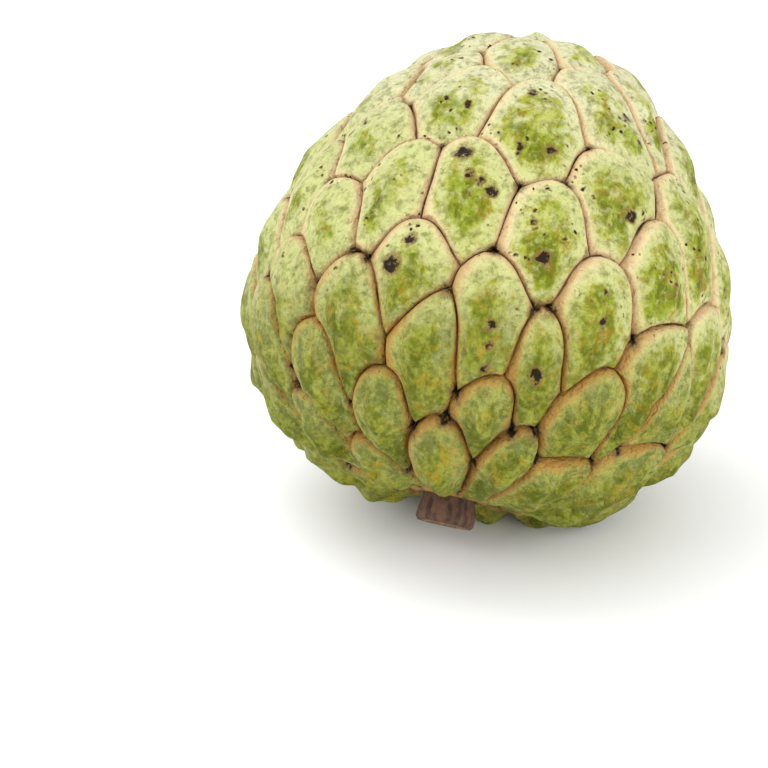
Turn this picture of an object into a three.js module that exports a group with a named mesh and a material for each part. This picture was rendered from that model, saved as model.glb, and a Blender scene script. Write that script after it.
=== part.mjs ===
// A whole custard apple, a sugar apple, lying on its stem side as picked.
// Millimetres and degrees. The fruit is built upright on its own axis, with its tip up, then
// tipped over and set down on the plane z = 0.
import * as THREE from 'three';
import { ConvexHull } from 'three/addons/math/ConvexHull.js';

// Body under the scales: its mean radius, and the shares of it that one, two and three waves
// from the tip to the stem add
const BODY_RADIUS = 42.1;
const BODY_WAVES = [-0.119, 0.027, 0.049];
const DIMPLE_DEPTH = 3.2;
const DIMPLE_SPREAD = 15;

// Scales follow one spiral from the tip to the stem, each turned by the golden angle. Their
// number for each unit share of the fruit's surface grows towards the stem and at the very tip.
const GOLDEN_ANGLE = 137.50776;
const FIRST_TURN = 238.5;
const SCALES_PER_SURFACE = 70;
const SCALES_MORE_AT_STEM = 125;
const STEM_CROWDING = 2.4;
const SCALES_MORE_AT_TIP = 110;
const TIP_CROWDING = 0.03;
const SEAT_SHARE = 0.0065;
const SEAT_SIZE = 0.13;
const LOOSE_TURN = 5;
const LOOSE_SLIDE = 2.5;
const LOOSE_SIZE = 0.006;

// Scales that grew off the spiral: number, degrees round the axis, degrees towards the stem
// and extra size
const GROWN_OFF = new Map([
  [8, [-10, -4, 0]], [16, [17, -6, 0.01]], [19, [5, -2, 0]], [21, [-10, -8, 0.004]],
  [26, [5, 4, 0]], [29, [1, -12, 0]], [32, [2, 6, 0]], [34, [0, 8, 0]],
  [37, [5, -5, 0]], [39, [0, 2, 0]], [42, [-1, -4, 0]], [45, [-2, 2, 0]],
  [47, [-3, 0, 0]], [50, [1, -7, 0]], [53, [4, 5, 0]], [55, [3, -1, 0]],
  [58, [-4, -2, 0.003]], [63, [3, -1, 0]], [66, [-5, 0, 0]], [71, [-2, -1, -0.004]],
  [74, [-11, -3, 0]], [76, [2, -5, 0]], [79, [-5, 1, 0]], [84, [0, 0, -0.003]],
  [87, [3, 0, 0]], [92, [-7, 4, 0]], [100, [-11, -6, 0]],
]);
const GROWN_TOGETHER = [24, 103, 105, 108];

// Relief of a scale: the crack round it, its steep flank, its rim and its crown
const GROOVE_DEPTH = 1.5;
const GROOVE_DEPTH_AT_STEM = 1.3;
const FLANK_WIDTH = 1.7;
const RIM_HEIGHT = 0.5;
const TIP_LIFT = 0.5;
const CROWN_HEIGHT = 1.2;
const CROWN_MORE_AT_STEM = 1.1;
const UNEVEN_HEIGHT = 0.35;
const RINGS_FROM_CRACK = [0, 0.6, 1.7];
const RINGS_TO_MIDDLE = [0.5];
const BORDER_STEP = 4.6;

// Outline of a scale: its width for a length of one, on the upper part and past one slope; how
// far two borders of the scale below join in one rounded tip, how soon a border straightens out
// of a corner, and how much it bows towards the fruit's tip
const WIDTH = 0.78;
const WIDTH_AT_STEM = 0.52;
const SLIM_FROM_SLOPE = 110;
const TIP_ROUNDING = 0.8;
const CORNER_TIGHTNESS = 2.4;
const BORDER_BOW = 0.04;

// Stem stub and its socket
const SOCKET_RADIUS = 5.2;
const SOCKET_DEPTH = 5;
const SOCKET_LIP = 1.3;
const STUB_RADIUS = 4.5;
const STUB_FLARE = 0.7;
const STUB_REACH = 5.5;
const STUB_GAP = 0.4;
const STUB_SIDES = 20;

// Pose: tipped back and to the side, with the middle of the fruit at this place
const TIP_BACK = 31.5;
const TIP_SIDE = 13;
const FRUIT_MIDDLE = [2.3, 5.2, 46.6];

const rad = THREE.MathUtils.degToRad;
const clamp01 = (x) => Math.min(1, Math.max(0, x));
const smooth = (x) => clamp01(x) ** 2 * (3 - 2 * clamp01(x));

// A repeatable number from 0 to 1 for a scale and a purpose
function chance(number, purpose) {
  const wave = Math.sin(number * 12.9898 + purpose * 78.233) * 43758.5453;
  return wave - Math.floor(wave);
}

// Direction from the fruit's middle: turn round the axis and slope from the tip
function direction(turn, slope) {
  const flat = Math.sin(rad(slope));
  return new THREE.Vector3(
    flat * Math.cos(rad(turn)), flat * Math.sin(rad(turn)), Math.cos(rad(slope)));
}

// Radius of the body under the scales in a direction
function bodyRadius(way) {
  const slope = Math.acos(THREE.MathUtils.clamp(way.z, -1, 1));
  const waves = BODY_WAVES.reduce((sum, share, i) => sum + share * Math.cos((i + 1) * slope), 0);
  const fromStem = (Math.PI - slope) / rad(DIMPLE_SPREAD);
  return BODY_RADIUS * (1 + waves) - DIMPLE_DEPTH * Math.exp(-(fromStem ** 2));
}

// Middles of the scales along the spiral, and of the stem seat as the last one, with their extra
// sizes
function growScales() {
  const scales = [];
  let share = 0.5 / (SCALES_PER_SURFACE + SCALES_MORE_AT_TIP);
  for (let number = 0; share < 1 - SEAT_SHARE; number += 1) {
    const slope = THREE.MathUtils.radToDeg(Math.acos(1 - 2 * share));
    const loose = [
      LOOSE_TURN * (chance(number, 1) - 0.5),
      LOOSE_SLIDE * (chance(number, 2) - 0.5),
      LOOSE_SIZE * (chance(number, 3) - 0.5),
    ];
    const [turned, slid, size] = GROWN_OFF.get(number) ?? loose;
    if (!GROWN_TOGETHER.includes(number)) {
      const way = direction(FIRST_TURN + GOLDEN_ANGLE * number + turned, slope + slid);
      scales.push({ number, middle: way, size });
    }
    share += 1 / (SCALES_PER_SURFACE + SCALES_MORE_AT_STEM * share ** STEM_CROWDING
      + SCALES_MORE_AT_TIP * Math.exp(-share / TIP_CROWDING));
  }
  scales.push({ number: -1, middle: new THREE.Vector3(0, 0, -1), size: SEAT_SIZE });
  return scales;
}

// A place in tip-to-stem steps that are as long as they are wide at every slope: the logarithm
// of the tangent of half the slope
const stepsFromWaist = (slope) => Math.log(Math.tan(slope / 2));

// A direction on a sphere on which slender scales are round, because lengths from tip to stem
// are shortened there to a scale's width. The way back lengthens them again.
function rounded(way, back = false) {
  const steps = stepsFromWaist(Math.acos(THREE.MathUtils.clamp(way.z, -1, 1)));
  const bend = stepsFromWaist(rad(SLIM_FROM_SLOPE));
  const past = (amount) => Math.max(0, amount);
  const short = back
    ? Math.min(steps, bend * WIDTH) / WIDTH + past(steps - bend * WIDTH) / WIDTH_AT_STEM
    : Math.min(steps, bend) * WIDTH + past(steps - bend) * WIDTH_AT_STEM;
  const turn = THREE.MathUtils.radToDeg(Math.atan2(way.y, way.x));
  return direction(turn, THREE.MathUtils.radToDeg(2 * Math.atan(Math.exp(short))));
}

// Corners where three scales meet: the faces of the hull round all the scales' middles, on a
// sphere on which slender scales are round
function findCorners(scales) {
  const seeds = scales.map((scale) => rounded(scale.middle).multiplyScalar(1 + scale.size));
  const hull = new ConvexHull().setFromPoints(seeds);
  return hull.faces.map((face) => {
    const around = [face.edge, face.edge.next, face.edge.next.next];
    const owners = around.map((edge) => seeds.findIndex((s) => s.equals(edge.head().point)));
    return { way: rounded(face.normal.clone().normalize(), true), owners };
  });
}

// Unit vector at a place on the unit sphere that points along the surface to another place
function heading(from, to) {
  return to.clone().addScaledVector(from, -from.dot(to)).normalize();
}

// Where each border leaves a corner. The scale that reaches furthest towards the stem has its
// two borders bent into one line there, so its tip is round.
function cornerHeadings(corner, nextCorners, scales) {
  const stemward = heading(corner.way, new THREE.Vector3(0, 0, -1));
  const reach = corner.owners.map((o) => heading(corner.way, scales[o].middle).dot(stemward));
  const order = [0, 1, 2].sort((a, b) => reach[b] - reach[a]);
  const bend = TIP_ROUNDING * smooth((reach[order[0]] - reach[order[1]]) / 0.8);
  const leaving = nextCorners.map((next) => heading(corner.way, next.way));
  const [first, second] = [order[0], (order[0] + 1) % 3];
  const line = leaving[first].clone().sub(leaving[second]).normalize();
  leaving[first].lerp(line, bend).normalize();
  leaving[second].lerp(line.negate(), bend).normalize();
  return leaving;
}

// Borders between neighbouring scales: for each scale, its closed loop of places on the unit
// sphere, counterclockwise from outside
function drawBorders(scales) {
  const corners = findCorners(scales);
  const faceOf = new Map();
  corners.forEach((corner, c) => corner.owners.forEach((owner, i) => {
    faceOf.set(`${owner},${corner.owners[(i + 1) % 3]}`, c);
  }));
  // Border i of a corner parts its owners i and i - 1
  const across = corners.map((corner) => corner.owners.map(
    (owner, i) => faceOf.get(`${owner},${corner.owners[(i + 2) % 3]}`)));
  const headings = corners.map((corner, c) => cornerHeadings(
    corner, across[c].map((next) => corners[next]), scales));
  return scales.map((scale, s) => {
    const loop = [];
    const start = corners.findIndex((corner) => corner.owners.includes(s));
    let c = start;
    do {
      const i = corners[c].owners.indexOf(s);
      const next = across[c][i];
      const neighbour = corners[c].owners[(i + 2) % 3];
      const back = corners[next].owners.indexOf(neighbour);
      const ends = [
        { way: corners[c].way, leave: headings[c][i] },
        { way: corners[next].way, leave: headings[next][back] },
      ];
      loop.push(...drawBorder(ends, s < neighbour));
      c = next;
    } while (c !== start);
    return loop;
  });
}

// Places along one border from its first end up to the second, without the second. Both scales
// that share a border draw it the same way round, so that their places match.
function drawBorder(ends, forwards) {
  const [a, b] = forwards ? ends : [ends[1], ends[0]];
  const angle = a.way.angleTo(b.way);
  const count = Math.max(1, Math.round(angle * BODY_RADIUS / BORDER_STEP));
  const along = heading(a.way, b.way);
  const side = new THREE.Vector3().crossVectors(a.way, along);
  const endAlong = heading(b.way, a.way).negate();
  const slopeA = a.leave.dot(side) / Math.max(0.5, a.leave.dot(along));
  const slopeB = -b.leave.dot(side) / Math.max(0.5, -b.leave.dot(endAlong));
  const middle = a.way.clone().add(b.way).normalize();
  const bow = BORDER_BOW * heading(middle, new THREE.Vector3(0, 0, 1)).dot(side);
  const places = [];
  for (let i = 0; i <= count; i += 1) {
    const u = i / count;
    const offset = slopeA * u * (1 - u) ** CORNER_TIGHTNESS
      - slopeB * u ** CORNER_TIGHTNESS * (1 - u) + bow * 4 * u * (1 - u);
    places.push(a.way.clone().multiplyScalar(Math.cos(angle * u))
      .addScaledVector(along, Math.sin(angle * u))
      .addScaledVector(side, angle * offset)
      .normalize());
  }
  return forwards ? places.slice(0, -1) : places.reverse().slice(0, -1);
}

// Height over the body at a place in a scale. The flank rises steeply out of the crack and
// levels off at the rim, and the crown swells from the rim to the middle.
function scaleHeight(scale, way, fromCrack, reach) {
  const share = (1 - way.z) / 2;
  const groove = GROOVE_DEPTH + GROOVE_DEPTH_AT_STEM * smooth((share - 0.6) / 0.4);
  const rise = 1 - (1 - clamp01(fromCrack / FLANK_WIDTH)) ** 2;
  const inner = clamp01((fromCrack - FLANK_WIDTH) / (reach - FLANK_WIDTH));
  const tipward = heading(scale.middle, new THREE.Vector3(0, 0, 1)).dot(way) * BODY_RADIUS;
  const rim = RIM_HEIGHT + UNEVEN_HEIGHT * (2 * chance(scale.number, 4) - 1)
    + TIP_LIFT * THREE.MathUtils.clamp(tipward / reach, -1, 1);
  const crown = CROWN_HEIGHT + CROWN_MORE_AT_STEM * smooth((share - 0.6) / 0.25);
  return -groove + rise * (groove + rim) + crown * inner * (2 - inner);
}

// Rings of points from a scale's crack to its middle, the last ring being the middle itself
function scaleRings(scale, loop) {
  const middle = loop.reduce((sum, way) => sum.add(way), new THREE.Vector3()).normalize();
  const place = (way, fromCrack, reach) => way.clone().multiplyScalar(
    bodyRadius(way) + scaleHeight(scale, way, fromCrack, reach));
  const reaches = loop.map((way) => way.angleTo(middle) * BODY_RADIUS);
  const last = RINGS_FROM_CRACK.at(-1);
  const rings = [...RINGS_FROM_CRACK, ...RINGS_TO_MIDDLE].map((ring, k) => loop.map((way, i) => {
    const fromCrack = k < RINGS_FROM_CRACK.length ? ring : last + ring * (reaches[i] - last);
    const inward = way.clone().lerp(middle, fromCrack / reaches[i]).normalize();
    return place(inward, fromCrack, reaches[i]);
  }));
  const reach = reaches.reduce((sum, r) => sum + r, 0) / reaches.length;
  rings.push(loop.map(() => place(middle, reach, reach)));
  return rings;
}

// Rings of points of the stem seat: from the crack round it over a low lip, then down the wall
// of the socket to its floor
function seatRings(scale, loop) {
  const mouth = -bodyRadius(scale.middle);
  const circle = (way, radius, z) => {
    const turn = Math.atan2(way.y, way.x);
    return new THREE.Vector3(radius * Math.cos(turn), radius * Math.sin(turn), z);
  };
  return [
    loop.map((way) => way.clone().multiplyScalar(
      bodyRadius(way) + scaleHeight(scale, way, 0, FLANK_WIDTH * 2))),
    loop.map((way) => circle(way, SOCKET_RADIUS + SOCKET_LIP, mouth - RIM_HEIGHT)),
    loop.map((way) => circle(way, SOCKET_RADIUS, mouth)),
    loop.map((way) => circle(way, SOCKET_RADIUS, mouth + SOCKET_DEPTH)),
    loop.map(() => new THREE.Vector3(0, 0, mouth + SOCKET_DEPTH)),
  ];
}

// Closed surface from loops of rings. Points that coincide become one.
function skin(patches) {
  const positions = [];
  const known = new Map();
  const index = [];
  const vertex = (p) => {
    const key = p.toArray().map((v) => v.toFixed(4)).join();
    if (!known.has(key)) {
      known.set(key, known.size);
      positions.push(p.x, p.y, p.z);
    }
    return known.get(key);
  };
  const triangle = (a, b, c) => {
    if (a !== b && b !== c && c !== a) index.push(a, b, c);
  };
  for (const rings of patches) {
    const ids = rings.map((ring) => ring.map(vertex));
    for (let k = 0; k + 1 < ids.length; k += 1) {
      ids[k].forEach((a, i) => {
        const b = ids[k][(i + 1) % ids[k].length];
        const c = ids[k + 1][(i + 1) % ids[k].length];
        const d = ids[k + 1][i];
        triangle(a, b, c);
        triangle(a, c, d);
      });
    }
  }
  const geometry = new THREE.BufferGeometry();
  geometry.setAttribute('position', new THREE.Float32BufferAttribute(positions, 3));
  geometry.setIndex(index);
  return geometry;
}

// From upright on its own axis to lying on its stem side
function layDown(point) {
  return point.clone()
    .applyAxisAngle(new THREE.Vector3(1, 0, 0), -rad(TIP_BACK))
    .applyAxisAngle(new THREE.Vector3(0, 1, 0), rad(TIP_SIDE))
    .add(new THREE.Vector3(...FRUIT_MIDDLE));
}

// The whole fruit, with the scales under its weight pressed flat on the plane z = 0
function fruit() {
  const scales = growScales();
  const borders = drawBorders(scales);
  const patches = scales.map((scale, s) => {
    const rings = scale.number < 0 ? seatRings(scale, borders[s]) : scaleRings(scale, borders[s]);
    return rings.map((ring) => ring.map((point) => {
      const laid = layDown(point);
      laid.z = Math.max(0, laid.z);
      return laid;
    }));
  });
  const material = new THREE.MeshStandardMaterial({ color: 0xa9ba72, roughness: 0.55 });
  const mesh = new THREE.Mesh(skin(patches), material);
  mesh.name = 'fruit';
  return mesh;
}

// Short woody stub: a slightly knotty peg, wider at its cut end
function stemStub() {
  const floor = -bodyRadius(new THREE.Vector3(0, 0, -1)) + SOCKET_DEPTH - STUB_GAP;
  const length = SOCKET_DEPTH - STUB_GAP + STUB_REACH;
  const steps = [0, 0, 0.3, 0.55, 0.75, 0.92, 1, 1];
  const rings = steps.map((share, k) => Array.from({ length: STUB_SIDES }, (_, i) => {
    const turn = (2 * Math.PI * i) / STUB_SIDES;
    const flare = STUB_FLARE * smooth((share - 0.4) / 0.5) - 0.5 * smooth((share - 0.9) / 0.1);
    const knotty = 0.25 * Math.sin(3 * turn + 1) * smooth((share - 0.4) / 0.3);
    const radius = k === 0 || k === steps.length - 1 ? 0 : STUB_RADIUS + flare + knotty;
    return layDown(new THREE.Vector3(
      radius * Math.cos(turn), radius * Math.sin(turn), floor - length * share));
  })).reverse();
  const material = new THREE.MeshStandardMaterial({ color: 0x6b4a36, roughness: 0.85 });
  const mesh = new THREE.Mesh(skin([rings]), material);
  mesh.name = 'stem_stub';
  return mesh;
}

const custardApple = new THREE.Group();
custardApple.add(fruit(), stemStub());

export default custardApple;
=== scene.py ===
"""A whole custard apple, a sugar apple, lying on its stem side: its scaly skin and its stem stub.

Sizes are in millimetres and angles in degrees. Meshes go into the scene in metres. The fruit is
worked out upright on its own axis, with its tip up, then tipped over and set down on z = 0.
"""

from __future__ import annotations

import logging
import math
from dataclasses import dataclass, field
from enum import Enum

import bmesh
import bpy
import numpy as np
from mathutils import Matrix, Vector


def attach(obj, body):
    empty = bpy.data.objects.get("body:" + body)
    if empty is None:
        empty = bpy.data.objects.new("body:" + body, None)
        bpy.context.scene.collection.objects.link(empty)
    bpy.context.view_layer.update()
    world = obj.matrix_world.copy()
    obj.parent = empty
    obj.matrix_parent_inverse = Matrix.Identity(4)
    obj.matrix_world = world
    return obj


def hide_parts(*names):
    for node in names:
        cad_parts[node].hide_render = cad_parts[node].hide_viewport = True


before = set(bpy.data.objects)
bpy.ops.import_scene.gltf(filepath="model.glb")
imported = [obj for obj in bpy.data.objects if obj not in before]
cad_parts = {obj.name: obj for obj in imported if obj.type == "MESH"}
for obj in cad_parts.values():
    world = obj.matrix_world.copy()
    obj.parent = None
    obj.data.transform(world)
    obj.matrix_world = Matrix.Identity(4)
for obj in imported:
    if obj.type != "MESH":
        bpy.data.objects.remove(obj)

LOG = logging.getLogger("custard_apple")
MM = 0.001
TIPWARD = np.array([0.0, 0.0, 1.0])

Array = np.ndarray
Colour = tuple[float, float, float]
Socket = bpy.types.NodeSocket


def unit(vectors: Array) -> Array:
    """Vectors brought to length one."""
    return vectors / np.linalg.norm(vectors, axis=-1, keepdims=True)


def dot(first: Array, second: Array) -> Array:
    """Dot products of vectors, row by row."""
    return np.sum(first * second, axis=-1)


def smooth(values: Array) -> Array:
    """S-shaped rise from 0 at 0 to 1 at 1, level outside."""
    share = np.clip(values, 0.0, 1.0)
    return share * share * (3.0 - 2.0 * share)


def heading(start: Array, end: Array) -> Array:
    """Unit tangents at places on the unit sphere that point along it to other places."""
    return unit(end - start * dot(start, end)[..., None])


def slope_of(ways: Array) -> Array:
    """Angles between the tip's direction and other directions, in radians."""
    return np.arccos(np.clip(ways[..., 2], -1.0, 1.0))


def stemward(ways: Array) -> Array:
    """Share of the unit sphere's surface between the tip and directions, 1 at the stem."""
    return (1.0 - ways[..., 2]) / 2.0


def direction(slope: Array, turn: Array) -> Array:
    """Unit directions at slopes from the tip and turns round the axis, in radians."""
    flat = np.sin(slope)
    return np.stack([flat * np.cos(turn), flat * np.sin(turn), np.cos(slope)], axis=-1)


def steps_from_waist(slope: Array) -> Array:
    """Tip-to-stem steps as long as they are wide: the logarithm of half the slope's tangent."""
    return np.log(np.tan(slope / 2.0))


def chance(numbers: Array, purpose: int) -> Array:
    """Repeatable numbers from 0 to 1: the part after the point of a large steep sine."""
    wave = np.sin(numbers * 12.9898 + purpose * 78.233) * 43758.5453
    return wave - np.floor(wave)


def ripples(points: Array, size: float, seed: int, waves: int = 18) -> Array:
    """Soft lumps over a surface: the sum of plane waves that run every way.

    Args:
        points: Places in millimetres.
        size: Mean width of a lump in millimetres.
        seed: Draws the waves' directions, lengths and phases.
        waves: Their number.

    Returns:
        Heights round zero, mostly between -1 and 1.
    """
    draw = np.random.default_rng(seed)
    ways = unit(draw.normal(size=(waves, 3)))
    turns = ways * (math.pi / size) * draw.uniform(0.7, 1.4, size=(waves, 1))
    phases = draw.uniform(0.0, 2.0 * math.pi, size=waves)
    return np.sin(points @ turns.T + phases).sum(axis=1) / math.sqrt(2.0 * waves)


def linear(red: int, green: int, blue: int) -> Colour:
    """Colour of 0 to 255 screen values as the linear values that shaders use."""
    share = np.array([red, green, blue]) / 255.0
    return tuple(np.where(share <= 0.04045, share / 12.92, ((share + 0.055) / 1.055) ** 2.4).tolist())


def show(name: str, data: bpy.types.ID) -> bpy.types.Object:
    """Puts a new object into the scene.

    Args:
        name: Its name.
        data: Its mesh, light or camera.

    Returns:
        The object.
    """
    item = bpy.data.objects.new(name, data)
    bpy.context.scene.collection.objects.link(item)
    return item


@dataclass
class Body:
    """The fruit's body under its scales, a shape turned round its axis."""

    radius: float = 42.1
    waves: tuple[float, float, float] = (-0.119, 0.027, 0.049)
    dimple_depth: float = 3.2
    dimple_spread: float = 15.0

    def radius_at(self, ways: Array) -> Array:
        """Radius in a direction: the mean one, times one, two and three waves from tip to stem.

        Args:
            ways: Unit directions from the fruit's middle.

        Returns:
            The radius in millimetres, less a bell-shaped dimple round the stem.
        """
        slope = slope_of(ways)
        shares = sum(w * np.cos((i + 1) * slope) for i, w in enumerate(self.waves))
        from_stem = (math.pi - slope) / math.radians(self.dimple_spread)
        return self.radius * (1.0 + shares) - self.dimple_depth * np.exp(-(from_stem**2))


@dataclass
class Pose:
    """How the fruit lies: tipped back, then to its side, with its middle at one place."""

    tip_back: float = 31.5
    tip_side: float = 13.0
    middle: tuple[float, float, float] = (2.3, 5.2, 46.6)

    def turn(self) -> Array:
        """Rotation from the upright fruit to the lying one.

        Returns:
            A matrix of 3 by 3.
        """
        back, side = math.radians(-self.tip_back), math.radians(self.tip_side)
        cos, sin = math.cos(back), math.sin(back)
        about_x = np.array([[1.0, 0.0, 0.0], [0.0, cos, -sin], [0.0, sin, cos]])
        cos, sin = math.cos(side), math.sin(side)
        about_y = np.array([[cos, 0.0, sin], [0.0, 1.0, 0.0], [-sin, 0.0, cos]])
        return about_y @ about_x

    def lay_down(self, points: Array) -> Array:
        """Points of the upright fruit, turned and moved to where it lies."""
        return points @ self.turn().T + np.array(self.middle)


@dataclass
class ScaleSpiral:
    """Middles of the scales, along one spiral from the fruit's tip to its stem.

    Each scale is turned by the golden angle from the one before. The number of scales for each
    unit share of the surface grows towards the stem and at the very tip. Those in grown_off stand
    off the spiral by degrees round the axis, degrees towards the stem and extra size, the others
    by chance up to half of loose either way. Those in grown_together are left out.
    """

    golden_angle: float = 137.50776
    first_turn: float = 238.5
    per_surface: float = 70.0
    more_at_stem: float = 125.0
    stem_crowding: float = 2.4
    more_at_tip: float = 110.0
    tip_crowding: float = 0.03
    seat_share: float = 0.0065
    seat_size: float = 0.13
    loose: tuple[float, float, float] = (5.0, 2.5, 0.006)
    grown_together: tuple[int, ...] = (24, 103, 105, 108)
    grown_off: dict[int, tuple[float, float, float]] = field(
        default_factory=lambda: {
            8: (-10, -4, 0), 16: (17, -6, 0.01), 19: (5, -2, 0), 21: (-10, -8, 0.004),
            26: (5, 4, 0), 29: (1, -12, 0), 32: (2, 6, 0), 34: (0, 8, 0),
            37: (5, -5, 0), 39: (0, 2, 0), 42: (-1, -4, 0), 45: (-2, 2, 0),
            47: (-3, 0, 0), 50: (1, -7, 0), 53: (4, 5, 0), 55: (3, -1, 0),
            58: (-4, -2, 0.003), 63: (3, -1, 0), 66: (-5, 0, 0), 71: (-2, -1, -0.004),
            74: (-11, -3, 0), 76: (2, -5, 0), 79: (-5, 1, 0), 84: (0, 0, -0.003),
            87: (3, 0, 0), 92: (-7, 4, 0), 100: (-11, -6, 0),
        }
    )

    def shares(self) -> Array:
        """Spaces the scales out from the tip to the stem.

        Returns:
            Share of the surface between the tip and each scale's middle.
        """
        found = []
        share = 0.5 / (self.per_surface + self.more_at_tip)
        while share < 1.0 - self.seat_share:
            found.append(share)
            crowd = self.more_at_tip * math.exp(-share / self.tip_crowding)
            crowd += self.more_at_stem * share**self.stem_crowding
            share += 1.0 / (self.per_surface + crowd)
        return np.array(found)

    def grow(self) -> tuple[Array, Array, Array]:
        """Grows every scale and, last, the stem's seat.

        Returns:
            The scales' numbers, -1 for the seat; the directions of their middles; and their
            extra sizes.
        """
        shares = self.shares()
        numbers = np.arange(len(shares))
        off = np.stack([s * (chance(numbers, i + 1) - 0.5) for i, s in enumerate(self.loose)], 1)
        for number, step in self.grown_off.items():
            off[number] = step
        turn = np.radians(self.first_turn + self.golden_angle * numbers + off[:, 0])
        slope = np.arccos(1.0 - 2.0 * shares) + np.radians(off[:, 1])
        middles = direction(slope, turn)
        kept = ~np.isin(numbers, self.grown_together)
        numbers = np.append(numbers[kept], -1)
        middles = np.vstack([middles[kept], -TIPWARD])
        sizes = np.append(off[kept, 2], self.seat_size)
        return numbers, middles, sizes


@dataclass
class Loops:
    """Samples along every scale's border, counterclockwise from outside, scale after scale.

    The number of samples round a scale is a multiple of four. Samples that two or three scales
    share have the same key.
    """

    scale: Array
    way: Array
    following: Array
    key: Array
    from_corner: Array


@dataclass
class ScaleNet:
    """Borders between the scales on the unit sphere."""

    body: Body
    middles: Array
    sizes: Array
    step: float = 1.0
    width: float = 0.78
    width_at_stem: float = 0.52
    slim_from_slope: float = 110.0
    tip_rounding: float = 0.8
    corner_tightness: float = 2.4
    border_bow: float = 0.04

    def rounded(self, ways: Array, back: bool = False) -> Array:
        """Directions on a sphere on which slender scales are round, or back from it.

        Args:
            ways: Unit directions.
            back: Whether the way back is asked for.

        Returns:
            Directions with their steps from tip to stem shortened to the scales' width, which is
            less past one slope, or lengthened again.
        """
        steps = steps_from_waist(slope_of(ways))
        bend = steps_from_waist(np.array(math.radians(self.slim_from_slope)))
        wide, slim = self.width, self.width_at_stem
        if back:
            bend, wide, slim = bend * wide, 1.0 / wide, 1.0 / slim
        short = np.minimum(steps, bend) * wide + np.maximum(steps - bend, 0.0) * slim
        return direction(2.0 * np.arctan(np.exp(short)), np.arctan2(ways[..., 1], ways[..., 0]))

    def corners(self) -> tuple[Array, Array]:
        """Corners where three scales meet: the faces of the hull round all their middles.

        A larger scale stands further out of the sphere and pushes its borders away.

        Returns:
            The corners' directions and, for each, its three scales, counterclockwise.
        """
        seeds = self.rounded(self.middles) * (1.0 + self.sizes[:, None])
        hull = bmesh.new()
        for seed in seeds:
            hull.verts.new(seed)
        hull.verts.ensure_lookup_table()
        hull.verts.index_update()
        bmesh.ops.convex_hull(hull, input=hull.verts)
        owners = np.array([[vert.index for vert in face.verts] for face in hull.faces])
        hull.free()
        a, b, c = (seeds[owners[:, i]] for i in range(3))
        ways = unit(np.cross(b - a, c - a))
        inward = dot(ways, a) < 0.0
        owners[inward] = owners[inward][:, ::-1]
        ways = np.where(inward[:, None], -ways, ways)
        return self.rounded(ways, back=True), owners

    def leavings(self, ways: Array, owners: Array, across: Array) -> Array:
        """Directions in which the three borders leave each corner.

        The scale that reaches furthest towards the stem has its two borders bent into one line
        there, so its tip is round.

        Args:
            ways: The corners' directions.
            owners: The three scales at each corner.
            across: The corner at the far end of each border.

        Returns:
            Unit tangents, three for each corner.
        """
        rows = np.arange(len(ways))
        stemward = heading(ways, np.broadcast_to(-TIPWARD, ways.shape))
        wide = np.broadcast_to(ways[:, None], owners.shape + (3,))
        reach = dot(heading(wide, self.middles[owners]), stemward[:, None])
        order = np.argsort(-reach, axis=1)
        lead = reach[rows, order[:, 0]] - reach[rows, order[:, 1]]
        bend = self.tip_rounding * smooth(lead / 0.8)[:, None]
        leaving = heading(wide, ways[across])
        first, second = order[:, 0], (order[:, 0] + 1) % 3
        line = unit(leaving[rows, first] - leaving[rows, second])
        leaving[rows, first] = unit(leaving[rows, first] * (1 - bend) + line * bend)
        leaving[rows, second] = unit(leaving[rows, second] * (1 - bend) - line * bend)
        return leaving

    def draw(self) -> Loops:
        """Draws every border as an arc of the sphere with a sideways bulge.

        The bulge leaves both corners in their directions and soon dies away, and a bow towards
        the fruit's tip is added.

        Returns:
            The samples round every scale.
        """
        ways, owners = self.corners()
        count, slots = len(ways), np.arange(3)
        total = len(self.middles)
        face_of = np.full((total, total), -1)
        face_of[owners, owners[:, (slots + 1) % 3]] = np.arange(count)[:, None]
        neighbours = owners[:, (slots + 2) % 3]
        across = face_of[owners, neighbours]
        leaving = self.leavings(ways, owners, across)

        # One row for each border as one of its two scales sees it
        owner, neighbour, end = owners.ravel(), neighbours.ravel(), across.ravel()
        start = np.repeat(np.arange(count), 3)
        onward = 3 * end + np.argmax(owners[end] == owner[:, None], axis=1)
        twin = 3 * end + np.argmax(owners[end] == neighbour[:, None], axis=1)
        forward = owner < neighbour
        leave_start, leave_end = leaving.reshape(-1, 3), leaving.reshape(-1, 3)[twin]
        swap = forward[:, None]
        a, b = np.where(swap, ways[start], ways[end]), np.where(swap, ways[end], ways[start])
        leave_a = np.where(swap, leave_start, leave_end)
        leave_b = np.where(swap, leave_end, leave_start)
        angle = np.arccos(np.clip(dot(a, b), -1.0, 1.0))
        quads = np.round(angle * self.body.radius / self.step / 4.0)
        samples = (4 * np.maximum(1, quads)).astype(int)
        along, back = heading(a, b), heading(b, a)
        side = np.cross(a, along)
        slope_a = dot(leave_a, side) / np.maximum(0.5, dot(leave_a, along))
        slope_b = -dot(leave_b, side) / np.maximum(0.5, dot(leave_b, back))
        halfway = unit(a + b)
        tipward = heading(halfway, np.broadcast_to(TIPWARD, halfway.shape))
        bow = self.border_bow * dot(tipward, side)

        # Borders in their order round each scale
        first = np.array([np.flatnonzero(owner == s)[0] for s in range(total)])
        rounds = [first]
        while len(rounds) < 16:
            rounds.append(onward[rounds[-1]])
        table = np.stack(rounds, axis=1)
        again = np.cumsum(table == first[:, None], axis=1) > 1
        sequence = table[~again]

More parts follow.
